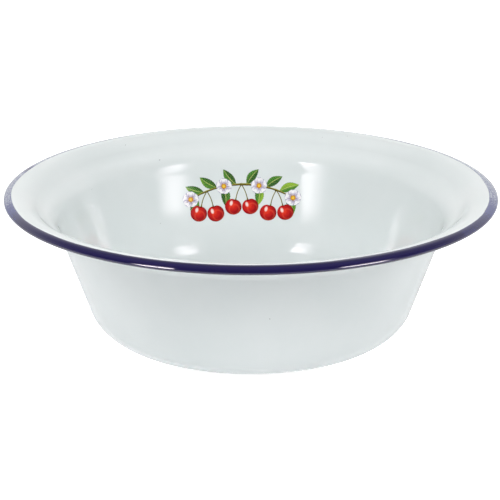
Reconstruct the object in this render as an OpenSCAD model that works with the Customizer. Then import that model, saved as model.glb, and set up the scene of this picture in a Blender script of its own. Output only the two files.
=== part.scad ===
// Enamelled steel basin bowl: one drawn steel shell between fired coats of enamel,
// with a coloured band on its rolled rim and a fired-on cherry garland inside.
// Millimetres, +Z up, origin on the axis at the level that the bowl stands on.

/* [Bowl] */
// Outside diameter over the rolled rim
rim_d = 360; // [340:1:400]
// Height of the rim's crest above the table
bowl_h = 106.5; // [98:0.5:116]
// Distance from the rim's outer edge in to the edge of the flat underside, seen from above
base_inset = 84; // [74:1:94]
// Outside radius of the corner between the base and the wall
corner_r = 26.5; // [18:0.5:32]
// Radius of the bend at the foot of the brim, between the wall and the ledge, on its inner face
foot_r = 17; // [14:0.5:19]
// Radius of the brim's shallow hollow, between the ledge and the flare, on its inner face
hollow_r = 23.2; // [20:0.1:26]
// Turn of the hollow from the ledge up to the flare, in degrees
hollow_turn = 22; // [19:1:25]
// Radius of the flare between the hollow and the rim's crest, on its inner face
flare_r = 22.4; // [20:0.1:25]
// Turn of the flare between the hollow and the crest, in degrees
flare_turn = 49; // [46:1:52]

/* [Base] */
// Width of the flat ring that the bowl stands on
ring_w = 9; // [5:0.5:15]
// Height that the middle of the base is pressed up above the ring
panel_rise = 1.5; // [0.8:0.1:3]
// Bend radius of the step between the ring and the pressed-up middle
step_r = 4; // [3:0.5:8]

/* [Rolled rim] */
// Radius of the rim's rounded shoulder, from the crest outwards
shoulder_r = 8.7; // [6:0.1:12]
// Turn of the shoulder between the crest and the nose, in degrees
shoulder_turn = 35; // [25:1:45]
// Inside radius of the fold at the rim's outer edge
fold_r = 0.6; // [0.4:0.05:0.9]
// Length of the hem that is folded back under the rim
hem_l = 4; // [2:0.5:6]
// Upward tilt of the hem, in degrees
hem_tilt = 8; // [0:1:15]

/* [Sheet and coats] */
// Thickness of the steel sheet
steel_t = 0.6; // [0.4:0.05:0.8]
// Thickness of the dark ground coat on each face of the sheet
ground_t = 0.12; // [0.08:0.01:0.16]
// Thickness of the white cover coat on each face
cover_t = 0.18; // [0.12:0.01:0.25]
// Thickness of the coloured band on the rim
band_t = 0.12; // [0.08:0.01:0.2]
// Thickness of the fired-on print
print_t = 0.15; // [0.1:0.01:0.2]

/* [Cherry garland] */
// Turn of the garland about the bowl's axis, away from +Y, in degrees
garland_turn = 3.3; // [-20:0.1:20]
// Distance down the wall from the bend at the brim's foot to the top of the branch
branch_drop = 18; // [15:0.5:20]
// Radius that the branch arches on
branch_r = 80; // [72:1:100]
// Width of the branch
branch_w = 1.8; // [1:0.1:3]
// Turn of the branch to each side of its top, in degrees
branch_turn = 32; // [30:1:36]
// Diameter of a cherry
cherry_d = 13.6; // [11:0.2:14]
// Length of a cherry's stalk, from the branch to the cherry's top
stalk_l = 13; // [11:0.5:16]
// Width of a cherry's stalk
stalk_w = 0.9; // [0.6:0.1:1.4]
// Lean of each stalk of a pair to its side, in degrees
stalk_lean = 21; // [20:1:22]
// Length of a leaf
leaf_l = 17; // [12:0.5:18]
// Width of a leaf
leaf_w = 7.5; // [5:0.5:10]
// Diameter of a blossom over its petals
blossom_d = 14; // [10:0.5:16]
// Diameter of a blossom's centre
centre_d = 4.2; // [3:0.2:6]

/* [Hidden] */
$fn = 96;

// Straight pieces that stand for each bend of the section
bend_steps = 12;
short_bend_steps = 6;
petals = 5;

// Places along the garland, as shares of the branch's turn from its top
pair_shares = [-0.66, 0, 0.66];
blossom_shares = [-1, -0.33, 0.33, 1];
leaf_shares = [0.1, 0.33, 0.46, 0.72, 0.88];
// Turn of each of those leaves away from the branch's own line, in degrees
leaf_turns = [54, -84, 46, 40, -46];
// Petal size and place, as shares of the blossom's diameter
petal_d_share = 0.4;
petal_place_share = 0.3;

// The section is one line along the steel's inner face, and each layer lies between two
// offsets from it: positive ones on the inside of the bowl and over the top of the rim
inner_ground_at = ground_t;
inner_cover_at = inner_ground_at + cover_t;
band_at = inner_cover_at + band_t;
print_at = inner_cover_at + print_t;
outer_steel_at = -steel_t;
outer_ground_at = outer_steel_at - ground_t;
outer_cover_at = outer_ground_at - cover_t;

// Base: the pressed-up middle, its step and the standing ring
base_r = rim_d / 2 - base_inset;
ring_z = -outer_cover_at;
step_turn = acos(1 - panel_rise / (2 * step_r));
ring_in_r = base_r - ring_w;
step_out_r = ring_in_r - 2 * step_r * sin(step_turn);

// Rim: crest, shoulder and nose, measured on the band's outer face
nose_r = fold_r + band_at - outer_cover_at;
nose_x = rim_d / 2 - nose_r;
crest_x = nose_x - (shoulder_r - nose_r) * sin(shoulder_turn);
shoulder_z = bowl_h - shoulder_r;
nose_z = shoulder_z + (shoulder_r - nose_r) * cos(shoulder_turn);

// Direction to the right of the section, for a heading in degrees above level, from the axis outwards
function to_right(heading) = [sin(heading), -cos(heading)];

// Brim: from the crest in, the flare, the hollow, and the ledge that the bend at its foot starts from
flare_line_r = flare_r - inner_cover_at;
hollow_line_r = hollow_r + inner_cover_at;
foot_line_r = foot_r - inner_cover_at;
ledge_heading = flare_turn - hollow_turn;
flare_centre = [crest_x, bowl_h - band_at - flare_line_r];
hollow_centre = flare_centre - (flare_line_r + hollow_line_r) * to_right(flare_turn);
foot_centre = hollow_centre + (hollow_line_r + foot_line_r) * to_right(ledge_heading);

// Wall: the straight line that touches the corner's bend and the foot's, which curve opposite ways
corner_line_r = corner_r + outer_cover_at;
corner_centre = [base_r, corner_r];
between_centres = foot_centre - corner_centre;
wall_heading = atan2(between_centres.y, between_centres.x)
    + asin((corner_line_r + foot_line_r) / norm(between_centres));
wall_draft = 90 - wall_heading;
wall_foot = corner_centre + corner_line_r * to_right(wall_heading);
wall_top = foot_centre - foot_line_r * to_right(wall_heading);
hem_heading = -180 - hem_tilt;

// Stations closer than this share of the sheet's thickness are one place
same_place_share = 0.001;
same_place = steel_t * same_place_share;

// Stations [radius, height, heading] along a bend to the left, and along one to the right
function left_bend(centre, r, from, to, steps) =
    [for (i = [0:steps])
        let (h = from + (to - from) * i / steps)
        [centre.x + r * sin(h), centre.y - r * cos(h), h]];
function right_bend(centre, r, from, to, steps) = left_bend(centre, -r, from, to, steps);
// Bends that follow each other share a station, which is kept once
function without_repeats(line) =
    [for (i = [0:len(line) - 1]) if (i == 0 || norm(line[i] - line[i - 1]) > same_place) line[i]];

base_line = concat(
    [[0, ring_z + panel_rise, 0]],
    right_bend([step_out_r, ring_z + panel_rise - step_r], step_r, 0, -step_turn, short_bend_steps),
    left_bend([ring_in_r, ring_z + step_r], step_r, -step_turn, 0, short_bend_steps)
);
wall_line = concat(
    left_bend(corner_centre, corner_line_r, 0, wall_heading, bend_steps),
    right_bend(foot_centre, foot_line_r, wall_heading, ledge_heading, short_bend_steps),
    left_bend(hollow_centre, hollow_line_r, ledge_heading, flare_turn, short_bend_steps),
    right_bend(flare_centre, flare_line_r, flare_turn, 0, bend_steps)
);
rim_line = concat(
    right_bend([crest_x, shoulder_z], shoulder_r - band_at, 0, -shoulder_turn, bend_steps),
    right_bend([nose_x, nose_z], nose_r - band_at, -shoulder_turn, hem_heading, bend_steps)
);
nose_end = rim_line[len(rim_line) - 1];
hem_end = [nose_end.x + hem_l * cos(hem_heading), nose_end.y + hem_l * sin(hem_heading), hem_heading];
whole_line = without_repeats(concat(base_line, wall_line, rim_line, [hem_end]));
print_line = [[wall_foot.x, wall_foot.y, wall_heading], [wall_top.x, wall_top.y, wall_heading]];

function beside(station, at) = [station.x - at * sin(station.z), station.y + at * cos(station.z)];

// A layer of the bowl: the space between two offsets from the line, turned about the axis
module layer(line, from, to) {
    ends = len(line) - 1;
    rotate_extrude()
        polygon(concat(
            [for (i = [0:ends]) beside(line[i], from)],
            [for (i = [ends:-1:0]) beside(line[i], to)]
        ));
}

module steel_shell() {
    color("#6f7478") layer(whole_line, outer_steel_at, 0);
}

module inner_ground_coat() {
    color("#23252d") layer(whole_line, 0, inner_ground_at);
}

module outer_ground_coat() {
    color("#23252d") layer(whole_line, outer_ground_at, outer_steel_at);
}

module inner_cover_coat() {
    color("#e9eceb") layer(whole_line, inner_ground_at, inner_cover_at);
}

module outer_cover_coat() {
    color("#e3e8e7") layer(whole_line, outer_cover_at, outer_ground_at);
}

module rim_band() {
    color("#221c52") layer(without_repeats(rim_line), inner_cover_at, band_at);
}

// The print lies in a flat frame on the wall, x level and y up the wall, origin at the branch's top
print_place = beside(
    [wall_top.x - branch_drop * cos(wall_heading), wall_top.y - branch_drop * sin(wall_heading), wall_heading],
    print_at
);
// Reach of the print to each side, and how far the round wall comes forward there
print_reach = branch_r * sin(branch_turn) + leaf_l + blossom_d;
print_depth = print_place.x - sqrt(pow(print_place.x, 2) - pow(print_reach, 2)) + print_reach * sin(wall_draft);

module on_wall() {
    rotate(garland_turn)
        intersection() {
            layer(print_line, inner_cover_at, print_at);
            translate([0, print_place.x, print_place.y])
                rotate([wall_heading, 0, 0])
                    translate([0, 0, -print_depth])
                        linear_extrude(2 * print_depth)
                            children();
        }
}

// Moves to a place along the branch, with x along it and y away from the arch's centre
module at_branch(share) {
    translate([0, -branch_r])
        rotate(-share * branch_turn)
            translate([0, branch_r])
                children();
}

// Moves to a place along the branch, with x level
module level_at_branch(share) {
    at_branch(share) rotate(share * branch_turn) children();
}

// Moves to the branch at the two ends of each pair of cherries, along a stalk that runs down
module at_stalks() {
    for (share = pair_shares)
        for (side = [-1, 1])
            level_at_branch(share) rotate(side * stalk_lean) children();
}

module cherry_shapes() {
    at_stalks() translate([0, -stalk_l - cherry_d / 2]) circle(d = cherry_d);
}

module blossom_places() {
    for (share = blossom_shares)
        level_at_branch(share) children();
}

module centre_shapes() {
    blossom_places() circle(d = centre_d);
}

module petal_shapes() {
    blossom_places()
        for (i = [0:petals - 1])
            rotate(i * 360 / petals)
                translate([0, blossom_d * petal_place_share])
                    circle(d = blossom_d * petal_d_share);
}

// Two arcs that meet in a point at each end, with one end at the origin
module leaf_shape() {
    arc_r = (pow(leaf_l, 2) + pow(leaf_w, 2)) / (4 * leaf_w);
    intersection() {
        translate([leaf_l / 2, arc_r - leaf_w / 2]) circle(arc_r);
        translate([leaf_l / 2, leaf_w / 2 - arc_r]) circle(arc_r);
    }
}

module leaf_shapes() {
    for (side = [-1, 1])
        for (i = [0:len(leaf_shares) - 1])
            at_branch(side * leaf_shares[i])
                mirror([side < 0 ? 1 : 0, 0])
                    rotate(leaf_turns[i])
                        leaf_shape();
}

module branch_shape() {
    half_w = 2 * branch_r * tan(branch_turn);
    translate([0, -branch_r])
        intersection() {
            difference() {
                circle(branch_r + branch_w / 2);
                circle(branch_r - branch_w / 2);
            }
            polygon([[0, 0], [half_w, 2 * branch_r], [-half_w, 2 * branch_r]]);
        }
}

module stem_shapes() {
    branch_shape();
    at_stalks() translate([-stalk_w / 2, -stalk_l]) square([stalk_w, stalk_l]);
}

// What lies over the stems: each ink stops where the one above it starts
module fruit_and_blossom_shapes() {
    cherry_shapes();
    petal_shapes();
    centre_shapes();
}

module print_stems() {
    color("#5b5a2c")
        on_wall()
            difference() {
                stem_shapes();
                fruit_and_blossom_shapes();
            }
}

module print_leaves() {
    color("#3f7d36")
        on_wall()
            difference() {
                leaf_shapes();
                stem_shapes();
                fruit_and_blossom_shapes();
            }
}

module print_cherries() {
    color("#b81f22") on_wall() cherry_shapes();
}

module print_petals() {
    color("#f6f1ea")
        on_wall()
            difference() {
                petal_shapes();
                centre_shapes();
            }
}

module print_centres() {
    color("#e3b53a") on_wall() centre_shapes();
}

steel_shell();
inner_ground_coat();
outer_ground_coat();
inner_cover_coat();
outer_cover_coat();
rim_band();
print_stems();
print_leaves();
print_cherries();
print_petals();
print_centres();
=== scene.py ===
"""Enamelled steel basin bowl with a coloured rim and a fired-on cherry garland, dressed around its solids."""
import math
import random

import bmesh
import bpy
from bpy.props import FloatProperty, FloatVectorProperty, IntProperty, PointerProperty
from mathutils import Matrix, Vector


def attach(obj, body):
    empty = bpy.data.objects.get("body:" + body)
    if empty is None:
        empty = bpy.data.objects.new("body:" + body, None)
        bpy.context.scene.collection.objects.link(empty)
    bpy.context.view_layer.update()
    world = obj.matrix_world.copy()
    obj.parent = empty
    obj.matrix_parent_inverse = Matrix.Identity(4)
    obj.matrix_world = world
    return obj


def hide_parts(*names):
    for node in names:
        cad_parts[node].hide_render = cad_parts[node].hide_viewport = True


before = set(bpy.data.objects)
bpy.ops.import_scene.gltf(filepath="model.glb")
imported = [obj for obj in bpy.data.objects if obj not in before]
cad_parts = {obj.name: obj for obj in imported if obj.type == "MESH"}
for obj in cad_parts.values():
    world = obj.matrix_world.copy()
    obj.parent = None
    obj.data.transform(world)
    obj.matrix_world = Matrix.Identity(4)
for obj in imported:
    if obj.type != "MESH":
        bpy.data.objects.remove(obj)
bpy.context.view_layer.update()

bl_info = {
    "name": "Enamel Basin Bowl",
    "version": (1, 0, 0),
    "blender": (4, 5, 0),
    "location": "View3D > Sidebar > Basin",
    "description": "Dresses an enamelled steel basin: fired coats, rim colour, printed garland and a studio",
    "category": "Add Mesh",
}

MM = 0.001
BODY = "root"
TURN = 2 * math.pi
BLACK, WHITE = (0.0, 0.0, 0.0), (1.0, 1.0, 1.0)


def linear(code):
    """An sRGB hex colour as linear red, green and blue."""
    parts = [int(code[i:i + 2], 16) / 255 for i in (1, 3, 5)]
    return tuple(c / 12.92 if c <= 0.04045 else ((c + 0.055) / 1.055) ** 2.4 for c in parts)


def smooth(value, low, high):
    """0 below low, 1 above high and an even S between them."""
    share = min(1.0, max(0.0, (value - low) / (high - low)))
    return share * share * (3 - 2 * share)


def eased(knots, at):
    """The value at a place among (place, value) knots, with an even S from each to the next."""
    for (low, first), (high, second) in zip(knots, knots[1:]):
        if at <= high:
            return first + (second - first) * smooth(at, low, high)
    return knots[-1][1]


def length(name, description, millimetres):
    return FloatProperty(name=name, description=description, default=millimetres * MM,
                         unit="LENGTH", subtype="DISTANCE", precision=5)


def angle(name, description, degrees):
    return FloatProperty(name=name, description=description, default=math.radians(degrees),
                         unit="ROTATION", subtype="ANGLE")


def number(name, description, value):
    return FloatProperty(name=name, description=description, default=value)


def colour(name, description, code):
    return FloatVectorProperty(name=name, description=description, default=linear(code),
                               subtype="COLOR", size=3, min=0, max=1)


class BowlSizes(bpy.types.PropertyGroup):
    """Sizes of the steel, its coats and the rim as the solids have them, and of the runs in the enamel"""
    rim_d: length("Rim diameter", "Outside diameter over the rolled rim", 360)
    bowl_h: length("Height", "Height of the rim's crest above the table", 106.5)
    base_inset: length("Base inset", "From the rim's outer edge in to the edge of the flat underside", 84)
    corner_r: length("Corner radius", "Outside radius between the base and the wall", 26.5)
    foot_r: length("Foot radius", "Inner radius of the bend between the wall and the brim's ledge", 17)
    hollow_r: length("Hollow radius", "Inner radius of the brim's shallow hollow", 23.2)
    hollow_turn: angle("Hollow turn", "Turn of the hollow, from the ledge up to the flare", 22)
    flare_r: length("Flare radius", "Inner radius between the hollow and the rim's crest", 22.4)
    flare_turn: angle("Flare turn", "Turn of the flare, between the hollow and the crest", 49)
    ring_w: length("Standing ring", "Width of the flat ring that the bowl stands on", 9)
    panel_rise: length("Panel rise", "Height that the middle of the base is pressed up", 1.5)
    step_r: length("Step radius", "Bend radius between the ring and the pressed-up middle", 4)
    shoulder_r: length("Shoulder radius", "Radius of the rim's shoulder, from the crest outwards", 8.7)
    shoulder_turn: angle("Shoulder turn", "Turn of the shoulder between the crest and the nose", 35)
    fold_r: length("Fold radius", "Inside radius of the fold at the rim's outer edge", 0.6)
    hem_l: length("Hem", "Length of the hem folded back under the rim", 4)
    hem_tilt: angle("Hem tilt", "Upward tilt of the hem", 8)
    steel_t: length("Steel", "Thickness of the steel sheet", 0.6)
    ground_t: length("Ground coat", "Thickness of the dark ground coat on each face", 0.12)
    cover_t: length("Cover coat", "Thickness of the white cover coat on each face", 0.18)
    band_t: length("Rim colour", "Thickness of the coloured band on the rim", 0.12)
    steps_around: IntProperty(name="Steps around", description="Faces round each turned coat",
                              default=288, min=64)
    swell_h: length("Brim bead", "Height of the enamel's gentle swelling at the foot of the brim", 0.122)
    swell_foot: length("Bead's foot", "How far under the wall's top that swelling begins", 8.4)
    swell_top: length("Bead's top", "How far under the wall's top it has its full height", 1.6)
    pool_h: length("Corner pool", "Extra enamel where it ran together in the inner corner", 0.31)
    pool_rise: length("Pool's rise", "How far up the wall that thicker enamel begins", 5.2)
    pool_fall: length("Pool's fall", "How far down the corner it is thickest", 4.5)
    hem_bead: length("Hem bead", "Reach of the enamel round the hem's cut edge", 0.45)
    brush_waver: length("Brush waver", "How far the hand-brushed edge of the rim colour wanders", 0.32)


class GarlandSizes(bpy.types.PropertyGroup):
    """Sizes of the printed garland, the same as the solids have"""
    garland_turn: angle("Garland turn", "Turn of the garland about the bowl's axis, away from +Y", 3.3)
    branch_drop: length("Branch drop", "From the bend at the brim's foot down to the top of the branch", 18)
    branch_r: length("Branch radius", "Radius that the branch arches on", 80)
    branch_w: length("Branch width", "Width of the branch", 1.8)
    branch_turn: angle("Branch turn", "Turn of the branch to each side of its top", 32)
    cherry_d: length("Cherry", "Diameter of a cherry", 13.6)
    stalk_l: length("Stalk", "Length of a stalk, from the branch to the cherry's top", 13)
    stalk_w: length("Stalk width", "Width of a stalk", 0.9)
    stalk_lean: angle("Stalk lean", "Lean of each stalk of a pair to its side", 21)
    leaf_l: length("Leaf", "Length of a leaf", 17)
    leaf_w: length("Leaf width", "Width of a leaf", 7.5)
    blossom_d: length("Blossom", "Diameter of a blossom over its petals", 14)
    centre_d: length("Blossom centre", "Diameter of a blossom's centre", 4.2)
    print_t: length("Print", "Thickness of the uppermost ink over the white coat", 0.15)


class EnamelColours(bpy.types.PropertyGroup):
    """Colours of the enamels, the inks and the steel"""
    white: colour("White enamel", "Cover coat", "#dfe4e4")
    white_shade: colour("White enamel, thick", "Cover coat where it ran thicker and cooler", "#dbe1e1")
    ground: colour("Ground enamel", "Dark coat under the white one", "#23252d")
    blue: colour("Rim blue", "Rim colour at its full thickness", "#1c1548")
    # This thin tone is also what the painted sheen over the rim's sides and back fades towards
    blue_thin: colour("Rim blue, thin", "Rim colour where the brush left it thin", "#39407a")
    steel: colour("Steel", "Sheet steel", "#8b8f92")
    stem: colour("Stems", "Ink of the branch and the stalks", "#6b5a28")
    leaf_dark: colour("Leaf shade", "Dark ink of the leaves", "#1f5223")
    leaf_light: colour("Leaf light", "Light ink of the leaves", "#8fb53a")
    cherry: colour("Cherry", "Ink of the cherries", "#c4201d")
    cherry_dark: colour("Cherry shade", "Dark ink of the cherries", "#6f0d14")
    petal: colour("Petal", "Light ink of the petals", "#f4f1f3")
    petal_shade: colour("Petal shade", "Ink of the petals' folds and outlines", "#8d84ad")
    centre: colour("Blossom centre", "Ink of the blossoms' centres", "#e9b42c")
    centre_dark: colour("Stamens", "Ink of the stamens", "#8a5417")


class StudioSizes(bpy.types.PropertyGroup):
    """Camera and light of the studio"""
    view_distance: length("Camera distance", "From the lens to the point it aims at", 1100)
    view_elevation: angle("Camera elevation", "Height of the view above level", 19.22)
    view_height: length("Aim height", "Height of the point that the camera aims at", 55.94)
    view_side: length("Aim side", "Sideways place of the point that the camera aims at", -0.63)
    lens: number("Lens", "Focal length on a 36 mm sensor", 105.97)
    softbox_light: number("Softboxes", "Radiance of the two softboxes in the glaze", 6.0)
    strip_light: number("Strips", "Radiance of the low strips that the rim mirrors", 34.0)
    right_light: number("Right light", "Power of the right softbox, in watts", 5.7)
    left_light: number("Left light", "Power of the left softbox, in watts", 3.7)
    front_light: number("Front light", "Power of the light over the camera, in watts", 12.1)
    back_light: number("Back light", "Power of the light high behind, in watts", 8.8)
    side_left: number("Left side", "Power of the light to the bowl's left, in watts", 6.7)
    side_right: number("Right side", "Power of the light to the bowl's right, in watts", 3.7)
    room_light: number("Room light", "Radiance of the white room", 0.11)
    room_mirror: number("Room in the glaze", "Radiance of the room as the glaze mirrors it", 1.0)
    floor_light: number("Floor light", "Glow of the lit floor beyond what its light gives", 0.13)


# The bowl's section

# Steps along each stretch at full fineness, from the axis out to the hem, and the fewest that a stretch keeps
PANEL_STEPS, STEP_STEPS, RING_STEPS, CORNER_STEPS, WALL_STEPS, BEAD_STEPS = 8, 8, 4, 40, 64, 24
FOOT_STEPS, HOLLOW_STEPS, FLARE_STEPS, SHOULDER_STEPS, NOSE_STEPS, HEM_STEPS = 18, 16, 32, 14, 24, 5
LEAST_STEPS = 2
# Rounds of bringing a printed point on to the round wall; each leaves a small share of the last one's miss
LAYING_ROUNDS = 8


def bend(centre, radius, start, end, steps):
    """Stations (radius, height, heading) along a bend to the left; a negative radius bends to the right."""
    headings = [start + (end - start) * i / steps for i in range(steps + 1)]
    return [(centre[0] + radius * math.sin(h), centre[1] - radius * math.cos(h), h) for h in headings]


def right_of(point, heading, distance):
    """The place at that distance from a point, to the right of the heading."""
    return point[0] + distance * math.sin(heading), point[1] - distance * math.cos(heading)


def straight(start, end, heading, steps):
    """Stations along a straight, both ends left out."""
    return [(start[0] + (end[0] - start[0]) * i / steps, start[1] + (end[1] - start[1]) * i / steps, heading)
            for i in range(1, steps)]


def beside(station, at):
    """The point at that offset from a station, to the left of its heading."""
    radius, height, heading = station
    return radius - at * math.sin(heading), height + at * math.cos(heading)


def ahead(station, reach):
    """The station that far ahead on a straight."""
    radius, height, heading = station
    return radius + reach * math.cos(heading), height + reach * math.sin(heading), heading


class BowlForm:
    """The section of the bowl: one line along the steel's inner face, and offsets from it for every layer."""

    def __init__(self, s):
        self.sizes = s
        self.inner_ground = s.ground_t
        self.inner_cover = self.inner_ground + s.cover_t
        self.band = self.inner_cover + s.band_t
        self.outer_ground = -s.steel_t - s.ground_t
        self.outer_cover = self.outer_ground - s.cover_t
        self.base_r = s.rim_d / 2 - s.base_inset
        self.ring_z = -self.outer_cover
        self.nose_r = s.fold_r + self.band - self.outer_cover
        nose_x = s.rim_d / 2 - self.nose_r
        crest_x = nose_x - (s.shoulder_r - self.nose_r) * math.sin(s.shoulder_turn)
        shoulder_z = s.bowl_h - s.shoulder_r
        nose_z = shoulder_z + (s.shoulder_r - self.nose_r) * math.cos(s.shoulder_turn)
        self.corner_line_r = s.corner_r + self.outer_cover
        self.foot_line_r = s.foot_r - self.inner_cover
        self.hollow_line_r = s.hollow_r + self.inner_cover
        self.flare_line_r = s.flare_r - self.inner_cover
        self.shoulder_line_r = s.shoulder_r - self.band
        self.nose_line_r = self.nose_r - self.band
        self.corner_centre = (self.base_r, s.corner_r)
        self.flare_centre = (crest_x, s.bowl_h - self.band - self.flare_line_r)
        self.shoulder_centre = (crest_x, shoulder_z)
        self.nose_centre = (nose_x, nose_z)
        self.ledge = s.flare_turn - s.hollow_turn
        self.hollow_centre = right_of(self.flare_centre, s.flare_turn,
                                      -self.flare_line_r - self.hollow_line_r)
        self.foot_centre = right_of(self.hollow_centre, self.ledge, self.hollow_line_r + self.foot_line_r)
        across = self.foot_centre[0] - self.corner_centre[0]
        rise = self.foot_centre[1] - self.corner_centre[1]
        self.wall_heading = math.atan2(rise, across) + math.asin(
            (self.corner_line_r + self.foot_line_r) / math.hypot(across, rise))
        self.hem_heading = -math.pi - s.hem_tilt
        self.wall_foot = self.corner_bend(1)[-1]
        self.wall_top = self.foot_bend(1)[0]
        self.nose_end = self.nose_bend(1)[-1]
        self.shoulder_l = self.shoulder_line_r * s.shoulder_turn
        self.nose_l = self.nose_line_r * (-s.shoulder_turn - self.hem_heading)

    def corner_bend(self, steps):
        return bend(self.corner_centre, self.corner_line_r, 0, self.wall_heading, steps)

    def foot_bend(self, steps):
        return bend(self.foot_centre, -self.foot_line_r, self.wall_heading, self.ledge, steps)

    def hollow_bend(self, steps):
        return bend(self.hollow_centre, self.hollow_line_r, self.ledge, self.sizes.flare_turn, steps)

    def flare_bend(self, steps):
        return bend(self.flare_centre, -self.flare_line_r, self.sizes.flare_turn, 0, steps)

    def shoulder_bend(self, steps):
        return bend(self.shoulder_centre, -self.shoulder_line_r, 0, -self.sizes.shoulder_turn, steps)

    def nose_bend(self, steps):
        return bend(self.nose_centre, -self.nose_line_r, -self.sizes.shoulder_turn, self.hem_heading, steps)

    def line(self, fineness=1.0):
        """Stations from the axis to the hem's end; a lower fineness takes fewer of them."""
        s = self.sizes

        def steps(count):
            return max(LEAST_STEPS, round(count * fineness))

        panel_z = self.ring_z + s.panel_rise
        step_turn = math.acos(1 - s.panel_rise / (2 * s.step_r))
        ring_in_r = self.base_r - s.ring_w
        step_out_r = ring_in_r - 2 * s.step_r * math.sin(step_turn)
        hem_end = ahead(self.nose_end, s.hem_l)
        bead_foot = ahead(self.wall_top, -s.swell_foot)
        parts = [
            [(0.0, panel_z, 0.0)], straight((0, panel_z), (step_out_r, panel_z), 0.0, steps(PANEL_STEPS)),
            bend((step_out_r, panel_z - s.step_r), -s.step_r, 0, -step_turn, steps(STEP_STEPS)),
            bend((ring_in_r, self.ring_z + s.step_r), s.step_r, -step_turn, 0, steps(STEP_STEPS))[1:],
            straight((ring_in_r, self.ring_z), (self.base_r, self.ring_z), 0.0, steps(RING_STEPS)),
            self.corner_bend(steps(CORNER_STEPS)),
            straight(self.wall_foot, bead_foot, self.wall_heading, steps(WALL_STEPS)), [bead_foot],
            straight(bead_foot, self.wall_top, self.wall_heading, steps(BEAD_STEPS)),
            self.foot_bend(steps(FOOT_STEPS)), self.hollow_bend(steps(HOLLOW_STEPS))[1:-1],
            self.flare_bend(steps(FLARE_STEPS)), self.shoulder_bend(steps(SHOULDER_STEPS))[1:],
            self.nose_bend(steps(NOSE_STEPS))[1:],
            straight(self.nose_end, hem_end, self.hem_heading, steps(HEM_STEPS)), [hem_end],
        ]
        return [station for part in parts for station in part]

    def on_rim(self, reach):
        """The station that far outwards from the crest along the line; a negative reach is on the flare."""
        if reach < 0:
            return bend(self.flare_centre, -self.flare_line_r, -reach / self.flare_line_r, 0, 1)[0]
        if reach <= self.shoulder_l:
            return bend(self.shoulder_centre, -self.shoulder_line_r, -reach / self.shoulder_line_r, 0, 1)[0]
        reach -= self.shoulder_l
        if reach <= self.nose_l:
            heading = -self.sizes.shoulder_turn - reach / self.nose_line_r
            return bend(self.nose_centre, -self.nose_line_r, heading, 0, 1)[0]
        return ahead(self.nose_end, reach - self.nose_l)

    def bead(self, height):
        """Extra height of the inner coat at a height of the wall, where the slip gathered under the brim."""
        s = self.sizes
        above_top = (height - self.wall_top[1]) / math.sin(self.wall_heading)
        return s.swell_h * smooth(above_top, -s.swell_foot, -s.swell_top)

    def swell(self, station):
        """Extra height of the inner coat where the slip gathered, under the brim and in the corner."""
        s = self.sizes
        radius, height, heading = station
        if radius < self.corner_centre[0] or heading < 0:
            return 0.0
        bead = self.bead(height) * (1 - smooth(radius, self.wall_top[0], self.flare_centre[0]))
        above_foot = (height - self.wall_foot[1]) / math.sin(self.wall_heading)
        if height < self.wall_foot[1]:
            above_foot = self.corner_line_r * (heading - self.wall_heading)
        pool = 1 - smooth(above_foot, -s.pool_fall, s.pool_rise)
        pool *= smooth(above_foot, -self.corner_line_r * self.wall_heading, -s.pool_fall)
        return bead + s.pool_h * pool

    def on_wall(self, g, x, y, lift):
        """A point of the flat print, carried straight on to the wall and lifted above the white coat."""
        sin_h, cos_h = math.sin(self.wall_heading), math.cos(self.wall_heading)
        place = ahead(self.wall_top, -g.branch_drop)
        start_y, start_z = beside(place, self.inner_cover + g.print_t)
        face_r, face_z = beside(self.wall_top, self.inner_cover + lift)
        depth = 0.0
        for _ in range(LAYING_ROUNDS):
            py = start_y + y * cos_h - depth * sin_h
            pz = start_z + y * sin_h + depth * cos_h
            reach = math.hypot(x, py)
            miss = reach - (face_r + (pz - face_z) * cos_h / sin_h) + self.bead(pz) / sin_h
            depth += miss / (py / reach * sin_h + cos_h * cos_h / sin_h)
        sin_t, cos_t = math.sin(g.garland_turn), math.cos(g.garland_turn)
        return Vector((x * cos_t - py * sin_t, x * sin_t + py * cos_t, pz))


# Nodes

# Kinds of node with their settings: sums, changes from one range of numbers to another, mixtures, distances
TIMES, PLUS, MINUS, ABOVE, UNDER, HIGHER, LOWER, FRACTION, UNSIGNED = (
    ("ShaderNodeMath", {"operation": operation}) for operation in (
        "MULTIPLY", "ADD", "SUBTRACT", "GREATER_THAN", "LESS_THAN", "MAXIMUM", "MINIMUM", "FRACT",
        "ABSOLUTE"))
EVEN_SPAN, SOFT_SPAN = (
    ("ShaderNodeMapRange", {"interpolation_type": way}) for way in ("LINEAR", "SMOOTHSTEP"))
COLOUR_MIX, NUMBER_MIX = (("ShaderNodeMix", {"data_type": kind}) for kind in ("RGBA", "FLOAT"))
VECTOR_MINUS, VECTOR_TIMES, VECTOR_LENGTH = (
    ("ShaderNodeVectorMath", {"operation": operation}) for operation in ("SUBTRACT", "MULTIPLY", "LENGTH"))
COORDINATES, MAP, AXES, STRETCH = (
    "ShaderNodeTexCoord", "ShaderNodeUVMap", "ShaderNodeSeparateXYZ", "ShaderNodeMapping")
ATTRIBUTE, NOISE, RAMP, LIGHT_PATH = (
    "ShaderNodeAttribute", "ShaderNodeTexNoise", "ShaderNodeValToRGB", "ShaderNodeLightPath")


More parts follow.
